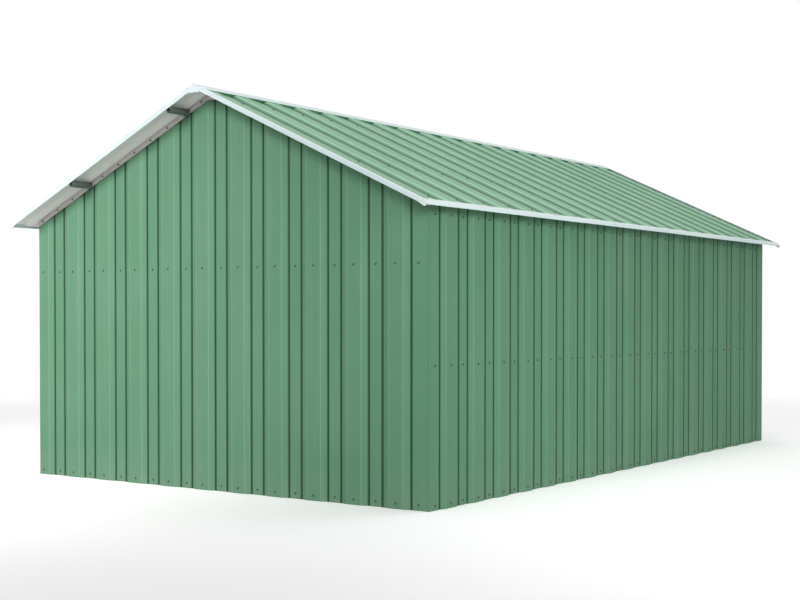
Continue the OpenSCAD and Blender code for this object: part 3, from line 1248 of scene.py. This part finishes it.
@dataclass
class RidgeCap:
    """The cap over the ridge, with hemmed edges and folded ends."""

    shell: Shell
    ribs: Ribs
    finishes: Finishes
    half: float = 105 * MM
    end_half: float = 52 * MM
    end_height: float = 66 * MM
    thickness: float = 0.8 * MM
    bend: float = 6 * MM
    hem: float = 9 * MM
    seat: float = 0.2 * MM
    filler_inset: float = 12 * MM
    filler_thickness: float = 14 * MM

    @property
    def top(self) -> float:
        """Height of the cap's top over the cladding's line, measured straight up."""
        sheet = self.shell.roof_seat + (self.ribs.depth + self.ribs.thickness) * self.shell.plumb
        return sheet + 3 * (self.seat + self.thickness * self.shell.plumb)

    def build(self) -> None:
        """Make the cap, its folded ends and its screws."""
        shell = self.shell
        maker = MeshMaker("ridge_cap_folded", "trim_white", self.finishes.trim)

        def edge(x: float, down: float) -> Point2:
            """Return a point on the cap's section."""
            return x, shell.line_z(x) + self.top - down

        under = 1.8 * self.thickness
        fold = [
            edge(-self.half + self.hem, under), edge(-self.half, under), edge(-self.half, 0.0),
            edge(0.0, 0.0),
            edge(self.half, 0.0), edge(self.half, under), edge(self.half - self.hem, under),
        ]
        line = rounded(fold, self.bend, 5)
        inner = offset(line, -self.thickness)
        low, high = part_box("ridge_cap")
        ways = [low.y + (high.y - low.y) * j / 12 for j in range(13)]

        def column(point: Point2) -> list[Vector]:
            """Return a line of points along the ridge."""
            return [Vector((point[0], y, point[1])) for y in ways]

        maker.sheet([column(p) for p in line], [column(p) for p in inner])
        apex = edge(0.0, 0.3 * MM)[1]
        bottom = apex - self.end_height
        shoulder = shell.line_z(self.end_half) + self.top - 0.3 * MM
        tab = [(-self.end_half, bottom), (self.end_half, bottom), (self.end_half, shoulder), (0.0, apex),
               (-self.end_half, shoulder)]
        for y, inward in ((low.y, 1), (high.y, -1)):
            front = [Vector((x, y, z)) for x, z in tab]
            behind = [Vector((x, y + inward * self.thickness, z)) for x, z in tab]
            count = len(tab)
            faces = [tuple(range(count)), tuple(reversed(range(count, 2 * count)))]
            faces += [(i, i + count, (i + 1) % count + count, (i + 1) % count) for i in range(count)]
            maker.add(front + behind, faces)
        maker.finish("ridge_cap")
        self.fillers()
        screws = ScrewRow("ridge_cap_screws", self.finishes, "trim_white")
        start = self.ribs.crest + self.ribs.web
        for side in Side:
            place = shell.on_slope(side)
            normal = place(0, 0, 1) - place(0, 0, 0)
            height = (self.top - shell.roof_seat) / shell.plumb
            crests = [s for s, d in self.ribs.centres(0.0, 2 * shell.roof_half_l, start) if d == 0.0]
            for s in crests[::2]:
                screws.add(place(self.half * 0.72, s - shell.roof_half_l, height), normal)
        screws.finish()

    def fillers(self) -> None:
        """Close each valley under the cap's edges with a shaped filler."""
        maker = MeshMaker("ridge_fillers", "roof_green", self.finishes.roof)
        start = self.ribs.crest + self.ribs.web
        foot, head = self.ribs.valley / 2, self.ribs.valley / 2 + self.ribs.web
        level = self.ribs.depth + self.ribs.thickness
        near = self.half * self.shell.plumb - self.filler_inset
        for side in Side:
            place = self.shell.on_slope(side)
            for s, d in self.ribs.centres(0.0, 2 * self.shell.roof_half_l, start):
                if d == 0.0:
                    continue
                y = s - self.shell.roof_half_l
                floor = self.ribs.thickness + self.ribs.crease + self.seat
                section = [(-head, level), (-foot, floor), (foot, floor), (head, level)]
                end = self.shell.roof_half_l - 2 * MM
                ways = [(max(-end, min(end, y + a)), b) for a, b in section]
                front = [place(near, a, b) for a, b in ways]
                behind = [place(near - self.filler_thickness, a, b) for a, b in ways]
                sides = [(i, (i + 1) % 4, (i + 1) % 4 + 4, i + 4) for i in range(4)]
                maker.add(front + behind, [(0, 1, 2, 3), (7, 6, 5, 4), *sides])
        maker.finish()


# ---------------------------------------------------------------- frame of tubes


@dataclass
class TubeFrame:
    """The frame's own nodes, dressed and with rounded tube corners."""

    finishes: Finishes
    corner: float = 2.2 * MM
    words: tuple[str, ...] = ("sill", "post", "rail", "girt", "rafter", "purlin")

    def build(self) -> None:
        """Dress every tube."""
        for name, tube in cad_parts.items():
            if not any(word in name for word in self.words):
                continue
            tube.data.materials.clear()
            tube.data.materials.append(self.finishes.frame)
            weld = tube.modifiers.new("weld", "WELD")
            weld.merge_threshold = 0.00002
            bevel = tube.modifiers.new("corners", "BEVEL")
            bevel.width = self.corner
            bevel.segments = 3
            bevel.limit_method = "ANGLE"
            bevel.angle_limit = math.radians(40)
            LOG.info("%s dressed", name)


# ---------------------------------------------------------------- studio


@dataclass
class Studio:
    """White floor, soft lamps and the camera."""

    shell: Shell
    stand: tuple[float, float, float] = (5.1535, -7.787, 1.3675)
    heading: float = 34.725
    tilt: float = 0.947
    lens: float = 61.13
    shift: Point2 = (-0.001, 0.0455)
    ambient: float = 0.52
    floor_fade: Point2 = (6.0, 11.0)

    def camera(self) -> None:
        """Stand the camera off the near corner of the building."""
        data = bpy.data.cameras.new("camera")
        data.lens = self.lens
        data.shift_x, data.shift_y = self.shift
        camera = bpy.data.objects.new("camera", data)
        camera.location = Vector((self.shell.half_w, -self.shell.half_l, 0)) + Vector(self.stand)
        camera.rotation_euler = (math.radians(90 - self.tilt), 0.0, math.radians(self.heading))
        bpy.context.scene.collection.objects.link(camera)
        bpy.context.scene.camera = camera

    def world(self) -> None:
        """Give the object plain ambient light, and show white behind it."""
        world = bpy.data.worlds.new("studio")
        bpy.context.scene.world = world
        world.use_nodes = True
        tree = world.node_tree
        tree.nodes.clear()
        output = tree.nodes.new("ShaderNodeOutputWorld")
        path = tree.nodes.new("ShaderNodeLightPath")
        seen = tree.nodes.new("ShaderNodeMath")
        seen.operation = "MAXIMUM"
        tree.links.new(path.outputs["Is Camera Ray"], seen.inputs[0])
        tree.links.new(path.outputs["Is Transmission Ray"], seen.inputs[1])
        glossy = tree.nodes.new("ShaderNodeMath")
        glossy.operation = "MAXIMUM"
        tree.links.new(seen.outputs[0], glossy.inputs[0])
        tree.links.new(path.outputs["Is Glossy Ray"], glossy.inputs[1])
        plain = tree.nodes.new("ShaderNodeBackground")
        plain.inputs["Color"].default_value = (1.0, 1.0, 1.0, 1.0)
        plain.inputs["Strength"].default_value = self.ambient
        white = tree.nodes.new("ShaderNodeBackground")
        white.inputs["Color"].default_value = (1.0, 1.0, 1.0, 1.0)
        white.inputs["Strength"].default_value = 1.0
        mix = tree.nodes.new("ShaderNodeMixShader")
        tree.links.new(glossy.outputs[0], mix.inputs[0])
        tree.links.new(plain.outputs[0], mix.inputs[1])
        tree.links.new(white.outputs[0], mix.inputs[2])
        tree.links.new(mix.outputs[0], output.inputs[0])

    def floor(self) -> None:
        """Lay a white floor that keeps the building's shadow."""
        size = 60.0
        mesh = bpy.data.meshes.new("floor")
        mesh.from_pydata([(-size, -size, 0), (size, -size, 0), (size, size, 0), (-size, size, 0)], [],
                         [(0, 1, 2, 3)])
        floor = bpy.data.objects.new("floor", mesh)
        floor.location.z = -0.5 * MM
        bpy.context.scene.collection.objects.link(floor)
        n = Nodes("floor_white")
        shader = n.add("BsdfDiffuse")
        path = n.add("LightPath")
        seen = path.outputs["Is Camera Ray"]
        tone = n.blend(seen, (0.9, 0.9, 0.9, 1.0), (1.16, 1.16, 1.16, 1.0))
        n.link(tone, shader.inputs["Color"])
        far = n.add("VectorMath", operation="LENGTH")
        n.link(n.add("TexCoord").outputs["Object"], far.inputs[0])
        fade = n.times(n.remap(far.outputs["Value"], *self.floor_fade, 0.0, 1.0), seen)
        white = n.add("Emission")
        mix = n.add("MixShader")
        n.link(fade, mix.inputs[0])
        n.link(shader.outputs[0], mix.inputs[1])
        n.link(white.outputs[0], mix.inputs[2])
        n.link(mix.outputs[0], n.output.inputs["Surface"])
        mesh.materials.append(n.material)

    def lamp(self, name: str, place: tuple[float, float, float], aim: tuple[float, float, float],
             size: float, power: float, spread: float,
             tint: tuple[float, float, float] = (1.0, 1.0, 1.0)) -> None:
        """Hang one soft area lamp.

        Args:
            name: The lamp's name.
            place: Where it hangs.
            aim: The point that it faces.
            size: Width of its square.
            power: Its power in watts.
            spread: The angle of its beam, in degrees.
            tint: The colour of its light.
        """
        data = bpy.data.lights.new(name, "AREA")
        data.size = size
        data.energy = power
        data.color = tint
        data.spread = math.radians(spread)
        lamp = bpy.data.objects.new(name, data)
        lamp.location = place
        lamp.rotation_euler = (Vector(aim) - Vector(place)).to_track_quat("-Z", "Y").to_euler()
        bpy.context.scene.collection.objects.link(lamp)

    def build(self) -> None:
        """Set up the whole studio."""
        self.camera()
        self.world()
        self.floor()
        self.lamp("lamp_over", (3.0, 3.0, 11.0), (0.0, 0.0, 0.0), 9.0, 400.0, 180.0)
        self.lamp("lamp_gable", (0.5, -12.0, 6.0), (-2.2, -3.3, 1.7), 4.0, 142.0, 50.0,
                  (1.0, 0.92, 0.96))
        self.lamp("lamp_long_wall", (8.5, -10.5, 3.6), (2.2, 1.4, 1.2), 2.5, 60.0, 42.0)
        self.lamp("lamp_corner", (11.5, -7.0, 4.0), (2.2, -3.4, 1.2), 2.5, 20.0, 40.0)
        bpy.context.scene.view_settings.view_transform = "Standard"


def main() -> None:
    """Build every sub-assembly of the garage in order."""
    logging.basicConfig(level=logging.INFO, format="%(name)s: %(message)s")
    finishes = Finishes()
    shell = Shell()
    ribs = Ribs()
    # On the roof the painted shade and painted highlight reach wider than on the walls.
    roof_ribs = Ribs(shade_reach=38 * MM, highlight_reach=15 * MM)
    Studio(shell).build()
    TubeFrame(finishes).build()
    for end in End:
        GableWall(shell, ribs, finishes, end).build()
    for side in Side:
        LongWall(shell, ribs, finishes, side).build()
        RoofSlope(shell, roof_ribs, finishes, side).build()
        EaveTrim(shell, ribs, finishes, side).build()
        for end in End:
            VergeTrim(shell, ribs, finishes, side, end).build()
    RidgeCap(shell, ribs, finishes).build()


if __name__ == "__main__":
    main()
